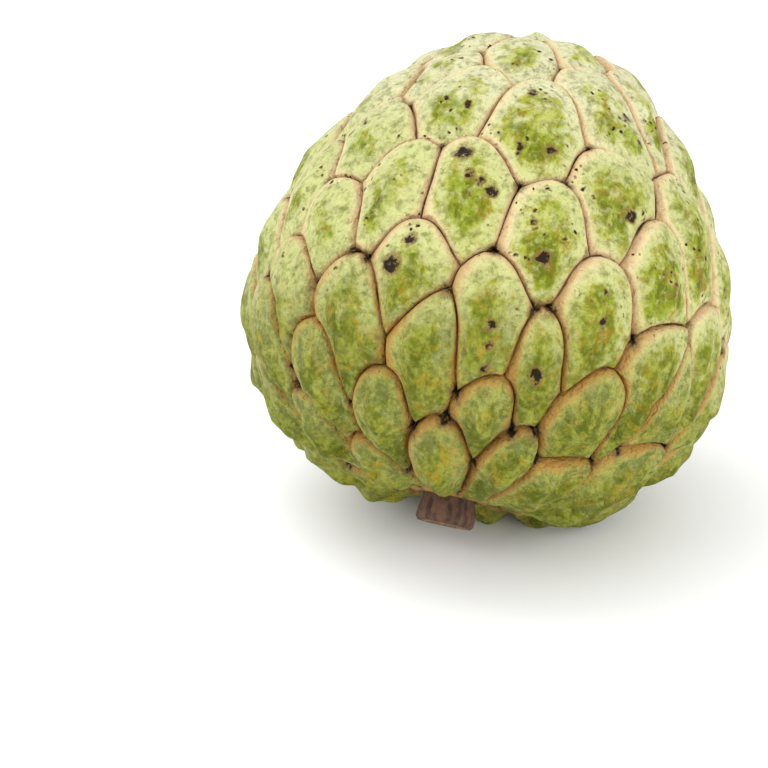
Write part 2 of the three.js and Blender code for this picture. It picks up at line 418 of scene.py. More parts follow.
        border = np.repeat(sequence, samples[sequence])
        starts = np.cumsum(samples[sequence]) - samples[sequence]
        index = np.arange(len(border)) - np.repeat(starts, samples[sequence])
        along_index = np.where(forward[border], index, samples[border] - index)
        u = along_index / samples[border]
        offset = (
            slope_a[border] * u * (1 - u) ** self.corner_tightness
            - slope_b[border] * u**self.corner_tightness * (1 - u)
            + bow[border] * 4 * u * (1 - u)
        )
        far = angle[border] * u
        way = unit(
            a[border] * np.cos(far)[:, None]
            + along[border] * np.sin(far)[:, None]
            + side[border] * (angle[border] * offset)[:, None]
        )

        # Corners have the first keys, then the samples between them
        shared = np.minimum(np.arange(len(owner)), twin)
        room = np.where(shared == np.arange(len(owner)), samples - 1, 0)
        offsets = count + np.cumsum(room) - room
        key = np.where(index == 0, start[border], offsets[shared[border]] + along_index - 1)

        scale = owner[border]
        following = np.arange(len(border)) + 1
        last = np.append(scale[1:] != scale[:-1], True)
        opening = np.append(0, np.flatnonzero(last)[:-1] + 1)
        following[last] = opening
        from_corner = np.minimum(u, 1 - u) * angle[border] * self.body.radius
        return Loops(scale, way, following, key, from_corner)


@dataclass
class Relief:
    """Height of the skin over the body: cracks, flanks, rims and crowns of the scales."""

    groove_depth: float = 1.05
    groove_depth_at_stem: float = 1.5
    flank_width: float = 1.7
    rim_height: float = 0.5
    tip_lift: float = 0.5
    crown_height: float = 1.2
    crown_more_at_stem: float = 1.1
    uneven_height: float = 0.35
    pit_depth: float = 0.5
    pit_reach: float = 1.4

    def groove(self, ways: Array, from_corner: Array) -> Array:
        """Depth of the cracks: deeper towards the stem, with a bell-shaped pit at each corner."""
        pit = self.pit_depth * np.exp(-((from_corner / self.pit_reach) ** 2))
        return self.groove_depth + self.groove_depth_at_stem * smooth((stemward(ways) - 0.6) / 0.4) + pit

    def height(
        self, ways: Array, numbers: Array, from_crack: Array, reach: Array, tipness: Array,
        from_corner: Array,
    ) -> Array:
        """Height of a place in a scale over the body, in millimetres.

        The flank rises out of the crack as a power curve, steepest towards the fruit's tip, and
        the crown swells from the rim to the middle as a parabola.

        Args:
            ways: Unit directions of the places.
            numbers: The scales' numbers.
            from_crack: Distance from the scale's border.
            reach: Distance from the border to the scale's middle on the same line.
            tipness: -1 at the scale's lower end to 1 at its tip.
            from_corner: Distance of the border from its nearest corner.

        Returns:
            The heights.
        """
        groove = self.groove(ways, from_corner)
        steep = 3.4 + 1.4 * smooth(tipness)
        rise = 1.0 - (1.0 - np.clip(from_crack / self.flank_width, 0.0, 1.0)) ** steep
        inner = np.clip((from_crack - self.flank_width) / (reach - self.flank_width), 0.0, 1.0)
        uneven = self.uneven_height * (2.0 * chance(numbers, 4) - 1.0)
        rim = self.rim_height + uneven + self.tip_lift * tipness
        crown = self.crown_height + self.crown_more_at_stem * smooth((stemward(ways) - 0.6) / 0.25)
        return -groove + rise * (groove + rim) + crown * inner * (2.0 - inner)


@dataclass
class Surface:
    """A mesh of triangles with values for its shader."""

    points: Array
    triangles: Array
    values: dict[str, Array] = field(default_factory=dict)

    def to_object(self, name: str) -> bpy.types.Object:
        """Makes the mesh, smooth shaded and in metres.

        Args:
            name: The new object's name.

        Returns:
            The object, at the origin.
        """
        mesh = bpy.data.meshes.new(name)
        mesh.vertices.add(len(self.points))
        mesh.vertices.foreach_set("co", (self.points * MM).astype(np.float32).ravel())
        mesh.loops.add(self.triangles.size)
        mesh.loops.foreach_set("vertex_index", self.triangles.astype(np.int32).ravel())
        mesh.polygons.add(len(self.triangles))
        mesh.polygons.foreach_set("loop_start", np.arange(0, self.triangles.size, 3))
        mesh.polygons.foreach_set("use_smooth", np.ones(len(self.triangles), dtype=bool))
        for title, values in self.values.items():
            layer = mesh.attributes.new(title, "FLOAT", "POINT")
            layer.data.foreach_set("value", values.astype(np.float32))
        mesh.update(calc_edges=True)
        mesh.validate()
        return show(name, mesh)


class NodeSheet:
    """A material's shader nodes, added and joined by short calls."""

    def __init__(self, name: str) -> None:
        """Starts an empty material with its output.

        Args:
            name: The material's name.
        """
        self.material = bpy.data.materials.new(name)
        self.material.use_nodes = True
        self.nodes = self.material.node_tree.nodes
        self.links = self.material.node_tree.links
        self.nodes.clear()
        self.output = self.nodes.new("ShaderNodeOutputMaterial")
        self.place = self.nodes.new("ShaderNodeTexCoord").outputs["Object"]

    def feed(self, socket: Socket, value: object) -> None:
        """Links a socket to another one or gives it a fixed value.

        Args:
            socket: The socket that is fed.
            value: Another socket, a number, a vector or a colour.
        """
        if isinstance(value, Socket):
            self.links.new(value, socket)
        elif isinstance(value, tuple) and len(value) == 3 and socket.type == "RGBA":
            socket.default_value = (*value, 1.0)
        else:
            socket.default_value = value

    def add(self, kind: str, inputs: dict, **settings: str) -> bpy.types.Node:
        """Adds a node.

        Args:
            kind: The end of its type's name.
            inputs: What its sockets are fed, by their names or places.
            settings: Its own settings.

        Returns:
            The node.
        """
        node = self.nodes.new("ShaderNode" + kind)
        for name, setting in settings.items():
            setattr(node, name, setting)
        for socket, value in inputs.items():
            self.feed(node.inputs[socket], value)
        return node

    def math(self, operation: str, first: object, second: object = 0.0) -> Socket:
        """Result of a sum on one or two numbers."""
        return self.add("Math", {0: first, 1: second}, operation=operation).outputs[0]

    def ramp(
        self, value: object, low: float, high: float, at_low: float = 0.0, at_high: float = 1.0
    ) -> Socket:
        """S-shaped change from at_low where value is low to at_high where it is high."""
        inputs = dict(enumerate((value, low, high, at_low, at_high)))
        return self.add("MapRange", inputs, interpolation_type="SMOOTHSTEP").outputs[0]

    def pattern(self, kind: str, size: float, vector: object, inputs: dict) -> bpy.types.Node:
        """A pattern's node of a size in millimetres, read at a vector or, if None, in place."""
        place = self.place if vector is None else vector
        return self.add(kind, {"Scale": 1.0 / (size * MM), "Vector": place, **inputs})

    def noise(
        self, size: float, detail: float = 2.0, roughness: float = 0.5, distortion: float = 0.0,
        vector: object = None,
    ) -> Socket:
        """Cloudy pattern from 0 to 1.

        Args:
            size: Width of its largest clouds in millimetres.
            detail: Number of finer layers.
            roughness: Strength of the finer layers.
            distortion: How far the pattern is warped.
            vector: Where it is read, or None for the object's own coordinates.

        Returns:
            The pattern's socket.
        """
        inputs = {"Detail": detail, "Roughness": roughness, "Distortion": distortion}
        return self.pattern("TexNoise", size, vector, inputs).outputs[0]

    def grains(self, size: float, vector: object = None) -> Socket:
        """Distance to the nearest of many scattered points, as a share of their spacing."""
        return self.pattern("TexVoronoi", size, vector, {}).outputs["Distance"]

    def warped(self, size: float, amount: float) -> Socket:
        """Object coordinates pushed about by cloudy noise.

        Args:
            size: Width of the clouds in millimetres.
            amount: How far they push, in millimetres.

        Returns:
            The coordinates.
        """
        cloud = self.pattern("TexNoise", size, None, {}).outputs["Color"]
        halves = (0.5, 0.5, 0.5)
        centred = self.add("VectorMath", {0: cloud, 1: halves}, operation="SUBTRACT").outputs[0]
        inputs = {0: centred, 1: (2.0 * amount * MM,) * 3, 2: self.place}
        return self.add("VectorMath", inputs, operation="MULTIPLY_ADD").outputs[0]

    def spot(self, vector: Socket, centre: Array, radius: float, softness: float) -> Socket:
        """Round mask, 1 inside and 0 outside.

        Args:
            vector: Where it is read.
            centre: Its middle in millimetres.
            radius: Its radius in millimetres.
            softness: The share of the radius by which its edge fades each way.

        Returns:
            The mask.
        """
        inputs = {0: vector, 1: tuple(float(value) * MM for value in centre)}
        distance = self.add("VectorMath", inputs, operation="DISTANCE").outputs["Value"]
        edge = radius * MM
        return self.ramp(distance, edge * (1 - softness), edge * (1 + softness), 1, 0)

    def mix(self, share: object, first: object, second: object) -> Socket:
        """Colour between two colours."""
        inputs = {"Factor": share, 6: first, 7: second}
        return self.add("Mix", inputs, data_type="RGBA").outputs[2]

    def lay(
        self, colour: object, shade: object, pattern: Socket, start: float, end: float,
        most: float = 1.0,
    ) -> Socket:
        """Colour under a shade that comes in from start to end of a pattern, up to a share."""
        return self.mix(self.ramp(pattern, start, end, 0.0, most), colour, shade)

    def value(self, name: str) -> Socket:
        """A named value of the mesh's points."""
        return self.add("Attribute", {}, attribute_name=name).outputs["Fac"]

    def joined(self, *parts: object) -> Socket:
        """Three numbers as one vector."""
        return self.add("CombineXYZ", dict(enumerate(parts))).outputs[0]

    def bump(self, height: object, depth: float, below: object = None) -> Socket:
        """Normal that shows a pattern as relief.

        Args:
            height: The pattern.
            depth: Its depth in millimetres.
            below: The normal of coarser relief, or None.

        Returns:
            The normal.
        """
        inputs = {"Distance": depth * MM, "Height": height}
        if below is not None:
            inputs["Normal"] = below
        return self.add("Bump", inputs).outputs[0]

    def finish(self, **inputs: object) -> bpy.types.Material:
        """Ends the material with its shader.

        Args:
            inputs: What the shader's sockets are fed, with _ for a space in their names.

        Returns:
            The material.
        """
        titled = {title.replace("_", " "): value for title, value in inputs.items()}
        shader = self.add("BsdfPrincipled", titled)
        self.links.new(shader.outputs[0], self.output.inputs["Surface"])
        return self.material


# Dark scars on scales: millimetres to the right of a scale's middle and towards its tip, radius
# and softness
SCARS: dict[int, tuple[tuple[float, float, float, float], ...]] = {
    16: ((3.6, 0.4, 0.9, 0.7), (5.6, -4.4, 0.8, 0.7)),
    21: ((-1.4, 0.0, 0.6, 0.7), (2.8, -0.6, 0.8, 0.5), (0.2, -2.4, 0.5, 0.7)),
    29: (
        (-1.4, 8.2, 0.95, 0.7), (-2.3, -5.2, 0.9, 0.7), (-2.2, -6.4, 0.7, 0.7), (3.4, -4.4, 1.2, 0.9),
    ),
    32: ((0.3, 4.2, 0.5, 0.7), (1.6, -2.2, 0.6, 0.7)),
    37: ((2.9, -2.9, 1.2, 0.7), (2.2, -3.7, 0.8, 0.7)),
    42: (
        (-2.6, 6.6, 1.5, 0.9), (0.8, -1.6, 0.5, 0.7), (4.4, -0.2, 1.1, 0.8), (0.0, 2.0, 0.9, 0.9),
        (2.2, 1.3, 0.9, 0.9),
    ),
    45: ((1.8, 0.0, 0.6, 0.7),),
    50: (
        (-0.5, -3.4, 1.35, 0.7), (-3.2, 4.4, 0.5, 0.7), (-3.3, 2.6, 0.75, 0.7),
        (-2.8, 1.2, 0.55, 0.7), (2.6, 0.6, 0.6, 0.6),
    ),
    55: ((-2.4, 0.6, 1.5, 0.9), (-0.4, 5.2, 1.2, 0.9)),
    58: ((0.2, 6.0, 0.6, 0.8), (0.6, 1.4, 0.7, 0.7)),
    63: (
        (0.9, 0.6, 1.1, 0.9), (1.2, -2.8, 0.9, 0.7), (2.2, -3.5, 0.9, 0.7), (3.1, -4.2, 0.8, 0.7),
        (1.6, -7.6, 1.1, 0.7),
    ),
    71: ((-1.0, 0.3, 1.2, 0.7), (-0.6, -0.9, 0.9, 0.7)),
    84: ((-1.4, -2.4, 0.9, 0.7),),
}


@dataclass(frozen=True)
class SkinFinish:
    """Leathery green scales with a pale bloom, cream rims, tan flanks and brown cracks, and painted
    light and shade.
    """

    bloom: Colour = linear(189, 192, 134)
    tip_bloom: Colour = linear(206, 204, 172)
    pale_green: Colour = linear(168, 171, 82)
    green: Colour = linear(148, 151, 40)
    fresh_green: Colour = linear(122, 136, 10)
    deep_green: Colour = linear(84, 90, 4)
    # Greens near the stem: the lower scales' own darker colour, darkened further as painted shade
    moss_and_shade: Colour = linear(132, 136, 50)
    dark_moss_and_shade: Colour = linear(76, 86, 6)
    olive: Colour = linear(134, 108, 24)
    ochre: Colour = linear(150, 130, 20)
    cream: Colour = linear(208, 194, 148)
    straw: Colour = linear(176, 156, 84)
    pink_tan: Colour = linear(192, 160, 120)
    orange_tan: Colour = linear(156, 114, 52)
    crack: Colour = linear(150, 108, 66)
    dark_crack: Colour = linear(44, 28, 14)
    stain: Colour = linear(118, 94, 52)
    scar: Colour = linear(34, 20, 8)
    # Painted light: middle and reach of a spot on the upper left, towards the key light, given more
    # bloom so that side is lighter
    painted_light_side: tuple[float, float, float] = (-38.0, -4.0, 62.0)
    painted_light_reach: float = 32.0
    streak_size: float = 2.4
    mottle_size: float = 3.2
    patch_size: float = 6.0
    blotch_size: float = 3.6
    crease_size: float = 1.3
    grain_size: float = 1.2
    leather_size: float = 1.6
    wander_size: float = 2.6
    break_size: float = 4.5
    speck_gap: float = 1.5
    line_width: float = 0.14

    def greens(self, sheet: NodeSheet, streaks: Socket, low: Socket) -> Socket:
        """Colour of the scales' faces.

        Pale green with lengthwise streaks of green, fresh and deep green towards the middle of
        each scale, olive blotches and a patchy bloom, thicker on the upper left as painted light,
        all over a darker, duller green near the stem: the lower scales' own colour, darkened further
        as painted shade where they face down.

        Args:
            sheet: The material's sheet.
            streaks: A pattern drawn out along the scales.
            low: 0 at a scale's tip to 1 at its lower end.

        Returns:
            The colour.
        """
        ramp, lay, noise, calc = sheet.ramp, sheet.lay, sheet.noise, sheet.math
        stem, tone = sheet.value("stemward"), sheet.value("tone")
        inner = ramp(sheet.value("from_crack"), 1.2, 5.5)
        growth = 0.0
        # Growth from the lower end, the middle, nearness to the stem and tone. Nearness to the stem
        # gives deeper green and less bloom: partly the lower scales' own colour, partly painted shade.
        for place, level, weight in (
            (low, 0.5, 0.12), (inner, 0.6, 0.28), (stem, 0.5, 0.3), (tone, 0.5, 0.08)
        ):
            growth = calc("ADD", growth, calc("MULTIPLY", calc("SUBTRACT", place, level), weight))
        blotches = noise(self.blotch_size, 3.0, 0.6, 1.2)
        colour = lay(self.pale_green, self.green, streaks, 0.34, 0.62)
        fresh = calc("ADD", noise(self.patch_size, 2.0, 0.5, 0.5), growth)
        colour = lay(colour, self.fresh_green, fresh, 0.44, 0.68, 0.85)
        colour = lay(colour, self.deep_green, calc("ADD", streaks, growth), 0.56, 0.8, 0.8)
        colour = lay(colour, self.olive, blotches, 0.52, 0.68, 0.8)
        # Painted light: the spot on the upper left takes away from growth, so it gets more pale bloom
        # and that side of the fruit is lighter
        paler = calc("MULTIPLY", sheet.spot(sheet.place, self.painted_light_side, self.painted_light_reach, 0.5), 0.15)
        bare = calc("MULTIPLY", calc("SUBTRACT", growth, paler), 1.1)
        waxy = calc("SUBTRACT", noise(self.mottle_size, 3.0, 0.6, 0.5), bare)
        bloom = lay(self.tip_bloom, self.bloom, stem, 0.12, 0.36)
        colour = lay(colour, bloom, waxy, 0.4, 0.68, 0.75)
        creases = calc("MULTIPLY", calc("ADD", streaks, noise(self.crease_size, 3.0, 0.7)), 0.5)
        # The lower scales' own darker green with creases and ochre, laid on near the stem, also as
        # painted shade of the scales that face down
        moss_and_shade = lay(self.moss_and_shade, self.dark_moss_and_shade, creases, 0.42, 0.58)
        moss_and_shade = lay(moss_and_shade, self.ochre, blotches, 0.52, 0.68, 0.8)
        return lay(colour, moss_and_shade, stem, 0.54, 0.8, 0.8)

    def edges(self, sheet: NodeSheet, colour: Socket, tip: Socket) -> Socket:
        """Colour with the cream rim, the tan flank and the crack laid over it.

        Args:
            sheet: The material's sheet.
            colour: The scales' faces.
            tip: -1 at a scale's lower end to 1 at its tip.

        Returns:
            The colour.
        """
        ramp, mix, lay, calc = sheet.ramp, sheet.mix, sheet.lay, sheet.math
        crack, stem = sheet.value("from_crack"), sheet.value("stemward")
        wander = calc("SUBTRACT", sheet.noise(self.wander_size, 3.0, 0.6), 0.5)
        edge = calc("ADD", crack, calc("MULTIPLY", wander, 1.4))
        at_stem = ramp(stem, 0.5, 0.75)
        rightward = ramp(sheet.value("across"), -5.0, 3.0)
        narrow = calc("ADD", rightward, calc("MULTIPLY", at_stem, 0.5))
        rim = mix(at_stem, self.cream, self.straw)
        colour = mix(ramp(calc("ADD", edge, narrow), 0.7, 2.5, 0.85, 0.0), colour, rim)
        flank = calc("ADD", edge, calc("MULTIPLY", rightward, 0.4))
        tan = lay(self.pink_tan, self.orange_tan, stem, 0.45, 0.75)
        colour = mix(ramp(flank, 0.4, 1.3, 0.85, 0.0), colour, tan)
        bold = ramp(tip, -0.5, 0.8, 0.3, 1.0)
        broken = ramp(sheet.noise(self.break_size, 2.0), 0.4, 0.64)
        for share in (ramp(stem, 0.02, 0.25), broken, ramp(stem, 0.55, 0.8, 1.0, 0.6)):
            bold = calc("MULTIPLY", bold, share)
        from_line = calc("SUBTRACT", crack, calc("MULTIPLY", bold, self.line_width))
        line = ramp(from_line, 0.0, self.line_width, 0.9, 0.0)
        return mix(line, colour, mix(bold, self.crack, self.dark_crack))

    def build(self, scars: list[tuple[Array, float, float]]) -> bpy.types.Material:
        """Builds the material: greens, edges, then pits, specks and scars, and fine relief.

        Args:
            scars: The centre, radius and softness of each dark scar.

        Returns:
            The material.
        """
        sheet = NodeSheet("fruit_skin")
        ramp, lay, noise, calc = sheet.ramp, sheet.lay, sheet.noise, sheet.math
        tip, stem = sheet.value("tipness"), sheet.value("stemward")
        lengthwise = sheet.joined(
            calc("MULTIPLY", sheet.value("across"), MM),
            calc("MULTIPLY", sheet.value("along"), 0.4 * MM),
            calc("MULTIPLY", sheet.value("tone"), 0.4),
        )
        streaks = noise(self.streak_size, 3.0, 0.6, 0.6, lengthwise)
        fine = noise(self.grain_size, 2.0, 0.6, 0.2)
        colour = self.greens(sheet, streaks, ramp(tip, -0.7, 0.7, 1.0, 0.0))
        colour = lay(colour, self.deep_green, noise(2.2, 3.0, 0.65, 0.2), 0.48, 0.68, 0.5)
        colour = lay(colour, self.deep_green, fine, 0.5, 0.7, 0.45)
        dust = calc("MULTIPLY", ramp(fine, 0.5, 0.32, 0.0, 0.35), ramp(stem, 0.5, 0.8, 1.0, 0.15))
        colour = self.edges(sheet, sheet.mix(dust, colour, self.bloom), tip)

        warp = sheet.warped(2.2, 1.0)
        specks = ramp(sheet.grains(self.speck_gap, warp), 0.1, 0.36, 0.9, 0.0)
        clusters = calc("MULTIPLY", ramp(noise(5.0, 1.0), 0.52, 0.64), ramp(stem, 0.5, 0.75, 1.0, 0.4))
        pits = calc("MULTIPLY", sheet.value("pit"), ramp(noise(11.0, 0.0), 0.45, 0.55))
        dark = calc("MAXIMUM", calc("MULTIPLY", specks, clusters), pits)
        for centre, radius, softness in scars:
            dark = calc("MAXIMUM", dark, sheet.spot(warp, centre, radius, softness))
        dark = calc("MULTIPLY", dark, ramp(noise(1.1, 3.0, 0.7), 0.35, 0.62, 0.55, 1.2))
        colour = lay(colour, self.stain, dark, 0.05, 0.4, 0.75)
        colour = lay(colour, self.scar, dark, 0.4, 0.75)
        folds = sheet.bump(streaks, 0.8)
        leather = sheet.bump(noise(self.leather_size, 3.0, 0.6, 0.3), 1.1, folds)
        return sheet.finish(
            Base_Color=colour,
            Roughness=ramp(streaks, 0.3, 0.7, 0.42, 0.6),
            Normal=sheet.bump(fine, 0.3, leather),
            Specular_IOR_Level=0.13,
            Subsurface_Weight=0.08,
            Subsurface_Radius=(0.0025, 0.0022, 0.0008),
        )


@dataclass(frozen=True)
class WoodFinish:
    """Dry brown bark of the stub, with a paler fibrous cut end."""

    bark: Colour = linear(104, 74, 54)
    dark_bark: Colour = linear(58, 38, 26)
    cut: Colour = linear(150, 118, 88)
    cloud_size: float = 2.4
    grain_size: float = 0.8
    grit_size: float = 0.7

    def build(self) -> bpy.types.Material:
        """Builds the material: cloudy bark with lengthwise fibres, and a mottled cut end.

        Returns:
            The material.
        """
        sheet = NodeSheet("stem_wood")
        lay, noise = sheet.lay, sheet.noise
        colour = lay(self.dark_bark, self.bark, noise(self.cloud_size, 3.0, 0.6, 0.5), 0.35, 0.65)
        colour = lay(colour, self.bark, sheet.value("fibre"), 0.2, 0.9, 0.5)
        end = lay(self.bark, self.cut, noise(self.grain_size, 3.0, 0.7), 0.35, 0.6)
        colour = sheet.mix(sheet.value("cut"), colour, end)
        rough = sheet.bump(noise(self.grit_size, 4.0, 0.7, 0.5), 0.3)
        return sheet.finish(Base_Color=colour, Roughness=0.85, Normal=rough)


@dataclass
class FruitSkin:
    """The whole fruit with every scale in one closed surface.

    The first rings of a scale stand at distances from its crack and the others at shares of the
    rest of the way to its middle. Lumps and wrinkles have a width and a height.
    """

    body: Body
    pose: Pose
    spiral: ScaleSpiral
    relief: Relief
    from_crack: tuple[float, ...] = (0.0, 0.14, 0.32, 0.58, 0.9, 1.3, 1.85)
    to_middle: tuple[float, ...] = (0.13, 0.27)
    to_middle_half: tuple[float, ...] = (0.4, 0.53, 0.66)
    to_middle_quarter: tuple[float, ...] = (0.78, 0.9)
    socket_radius: float = 5.2
    socket_depth: float = 5.0
    socket_lip: float = 1.3
    crown_fall: float = 0.6
    crown_reach: float = 8.0
    overhang: float = 0.35
    near_rounds: int = 32
    far_rounds: int = 53
    farthest: float = 8.0
    broad_lumps: tuple[float, float] = (7.0, 0.2)
    small_lumps: tuple[float, float] = (2.8, 0.17)
    wrinkles: tuple[float, float] = (1.7, 0.09)
    lumps_at_stem: float = 1.5
    wrinkles_at_stem: float = 4.5

    def rings(self, loops: Loops, numbers: Array) -> tuple[Array, dict[str, Array], Array]:
        """Places each ring of samples between a scale's border and its middle.

        A ring is the border drawn in towards the middle and rounded off as it goes.

        Args:
            loops: The samples round every scale.
            numbers: The scales' numbers.

        Returns:
            Points as rings by samples by three, the shader's values as rings by samples, and the
            points of the scales' middles.
        """
        count = loops.scale.max() + 1
        sums = np.stack([np.bincount(loops.scale, loops.way[:, i], count) for i in range(3)], 1)
        middles = unit(sums)
        middle = middles[loops.scale]
        reach = np.arccos(np.clip(dot(loops.way, middle), -1, 1)) * self.body.radius
        crowd = np.minimum(1.0, reach * 0.62 / self.from_crack[-1])
        distances = [step * crowd for step in self.from_crack]
        rest = reach - distances[-1]
        shares = self.to_middle + self.to_middle_half + self.to_middle_quarter
        distances += [distances[-1] + share * rest for share in shares]
        distance = np.stack(distances)
        round_a = self.smoothed(loops, loops.way, self.near_rounds)
        round_b = self.smoothed(loops, round_a, self.far_rounds)
        share = distance / reach
        near, far = smooth(share / 0.22)[..., None], smooth((share - 0.25) / 0.5)[..., None]
        shape = loops.way * (1 - near) + round_a * near
        shape = shape * (1 - far) + round_b * far
        tipside = heading(middle, np.broadcast_to(TIPWARD, middle.shape))
        tipness = np.clip(dot(tipside, loops.way) * self.body.radius / reach, -1.0, 1.0)
        tipness = tipness * (1.0 - share) ** 0.5
        hang = self.overhang * smooth(tipness) * smooth(distance / 0.5)
        hang = hang * smooth((2.4 - distance) / 1.6)
        drawn = (np.maximum(distance - hang, 0.35 * distance) / reach)[..., None]
        ways = unit(shape * (1 - drawn) + middle * drawn)
        number = np.broadcast_to(numbers[loops.scale], distance.shape)
        height = self.relief.height(ways, number, distance, reach, tipness, loops.from_corner)
        along = dot(ways, tipside) * self.body.radius
        across = dot(ways, np.cross(tipside, middle)) * self.body.radius
        values = {
            "from_crack": np.minimum(distance, self.farthest),
            "tipness": tipness,
            "tone": chance(number, 5),
            "stemward": stemward(ways),
            "along": along,
            "across": across,
            "pit": np.exp(-((loops.from_corner / 1.1) ** 2) - (distance / 0.8) ** 2),
        }
        points = ways * (self.body.radius_at(ways) + height)[..., None]
        local = np.stack([across, 0.3 * along, 5.0 * number], axis=-1)
        rough = self.lumps(points, ways, local)
        points += ways * (rough * smooth((distance - 0.4) / 1.8))[..., None]
        tops = self.tops(middles, numbers, reach, loops)
        return points, values, tops

    def lumps(self, points: Array, ways: Array, local: Array) -> Array:
        """Uneven growth of the skin, stronger towards the stem.

        Args:
            points: Places on the upright fruit.
            ways: Their directions.
            local: The same places across and, shortened, along their scale, for wrinkles that
                run lengthwise.

        Returns:
            Heights in millimetres: broad lumps, small lumps and wrinkles, each a sum of waves.
        """
        places, lengthwise = points.reshape(-1, 3), local.reshape(-1, 3)
        broad, broad_height = self.broad_lumps
        small, small_height = self.small_lumps
        narrow, wrinkle_height = self.wrinkles
        lumps = broad_height * ripples(places, broad, 3) + small_height * ripples(places, small, 3)
        wrinkles = wrinkle_height * ripples(lengthwise, narrow, 5)
        low = smooth((stemward(ways) - 0.5) / 0.35).ravel()
        heights = lumps * (1 + self.lumps_at_stem * low)
        heights += wrinkles * (1 + self.wrinkles_at_stem * low)
        return heights.reshape(points.shape[:-1])

    def tops(self, middles: Array, numbers: Array, reach: Array, loops: Loops) -> Array:
        """Places the points at the scales' middles.

        Args:
            middles: Directions of the middles.
            numbers: The scales' numbers.
            reach: Distance from each sample to its scale's middle.
            loops: The samples round every scale.

        Returns:
            The points, upright.
        """
        count = np.bincount(loops.scale)
        mean = np.bincount(loops.scale, reach) / count
        still = np.zeros(len(middles))
        far = np.full(len(middles), self.farthest)
        height = self.relief.height(middles, numbers, mean, mean, still, far)
        points = middles * (self.body.radius_at(middles) + height)[:, None]
        local = np.stack([still, still, 5.0 * numbers], axis=-1)
        return points + middles * self.lumps(points, middles, local)[:, None]

    def smoothed(self, loops: Loops, ways: Array, rounds: int) -> Array:
        """Averages each sample with its two neighbours, many times.

        Args:
            loops: The samples round every scale.
            ways: Their directions.
            rounds: How many times.

        Returns:
            The smoothed directions.
        """
        before = np.empty_like(loops.following)
        before[loops.following] = np.arange(len(loops.following))
        for _ in range(rounds):
            ways = 0.5 * ways + 0.25 * (ways[loops.following] + ways[before])
        return unit(ways)

    def seat(self, points: Array, loops: Loops, seat: int) -> None:
        """Turns the rings of the stem's seat into a low lip, a socket wall and its floor.

        Args:
            points: The rings of every scale, changed in place.
            loops: The samples round every scale.
            seat: The seat's place in the list of scales.
        """
        mine = loops.scale == seat
        mouth = -float(self.body.radius_at(-TIPWARD))
        turn = np.arctan2(loops.way[mine, 1], loops.way[mine, 0])
        around = np.stack([np.cos(turn), np.sin(turn), np.zeros_like(turn)], axis=1)
        wall, floor = self.socket_radius, mouth + self.socket_depth
        lip = wall + self.socket_lip
        profile = (
            (lip + 1.0, mouth - 0.2), (lip, mouth - 0.5), (lip - 0.6, mouth - 0.6),
            (lip - 1.0, mouth - 0.4), (wall, mouth), (wall, mouth + 1.5), (wall, mouth + 3.0),
            (wall, mouth + 4.4), (wall - 0.2, floor), (3.6, floor), (2.2, floor), (1.4, floor),
            (0.7, floor),
        )
        for ring, (radius, z) in enumerate(profile, start=1):
            points[ring, mine] = around * radius + TIPWARD * z

    def surface(self) -> tuple[Surface, dict[int, Array]]:
        """Works out the whole skin.

        Returns:
            The closed surface, and by each scale's number the upright point at its middle.
        """
        numbers, middles, sizes = self.spiral.grow()
        loops = ScaleNet(self.body, middles, sizes).draw()
        points, values, tops = self.rings(loops, numbers)
        seat = len(numbers) - 1
        self.seat(points, loops, seat)
        tops[seat] = TIPWARD * (self.socket_depth - float(self.body.radius_at(-TIPWARD)))
        index, total = self.number_points(points.shape[0], loops)
        every = np.zeros((total, 3))
        fields = {name: np.zeros(total) for name in values}
        for ring, ids in enumerate(index):
            used = ids >= 0
            every[ids[used]] = points[ring, used]
            for name in fields:
                fields[name][ids[used]] = values[name][ring, used]
        peaks = total - len(numbers) + np.arange(len(numbers))
        every[peaks] = tops
        fields["from_crack"][peaks] = self.farthest
        fields["tone"][peaks] = chance(numbers, 5)
        fields["stemward"][peaks] = stemward(unit(tops))
        triangles = self.stitch(index, loops, peaks)
        laid = self.pose.lay_down(every)
        laid[:, 2] = np.maximum(laid[:, 2], 0.0)
        marks = {int(n): tops[i] for i, n in enumerate(numbers)}
        return Surface(laid, triangles, fields), marks

    def number_points(self, rings: int, loops: Loops) -> tuple[Array, int]:
        """Gives each ring's samples their point numbers.

        The border ring uses the shared keys. Rings further in keep every second and then every
        fourth sample.

        Args:
            rings: The number of rings.
            loops: The samples round every scale.

        Returns:
            Point numbers as rings by samples, -1 where a sample is left out, and the number of
            points with the scales' middles last.
        """
        samples = np.arange(len(loops.scale))
        full = len(self.from_crack) + len(self.to_middle)
        half = full + len(self.to_middle_half)
        index = np.full((rings, len(samples)), -1)
        index[0] = loops.key
        total = loops.key.max() + 1
        for ring in range(1, rings):
            gap = 1 if ring < full else 2 if ring < half else 4
            kept = samples % gap == 0
            index[ring, kept] = total + np.arange(kept.sum())
            total += kept.sum()
        return index, int(total + loops.scale.max() + 1)

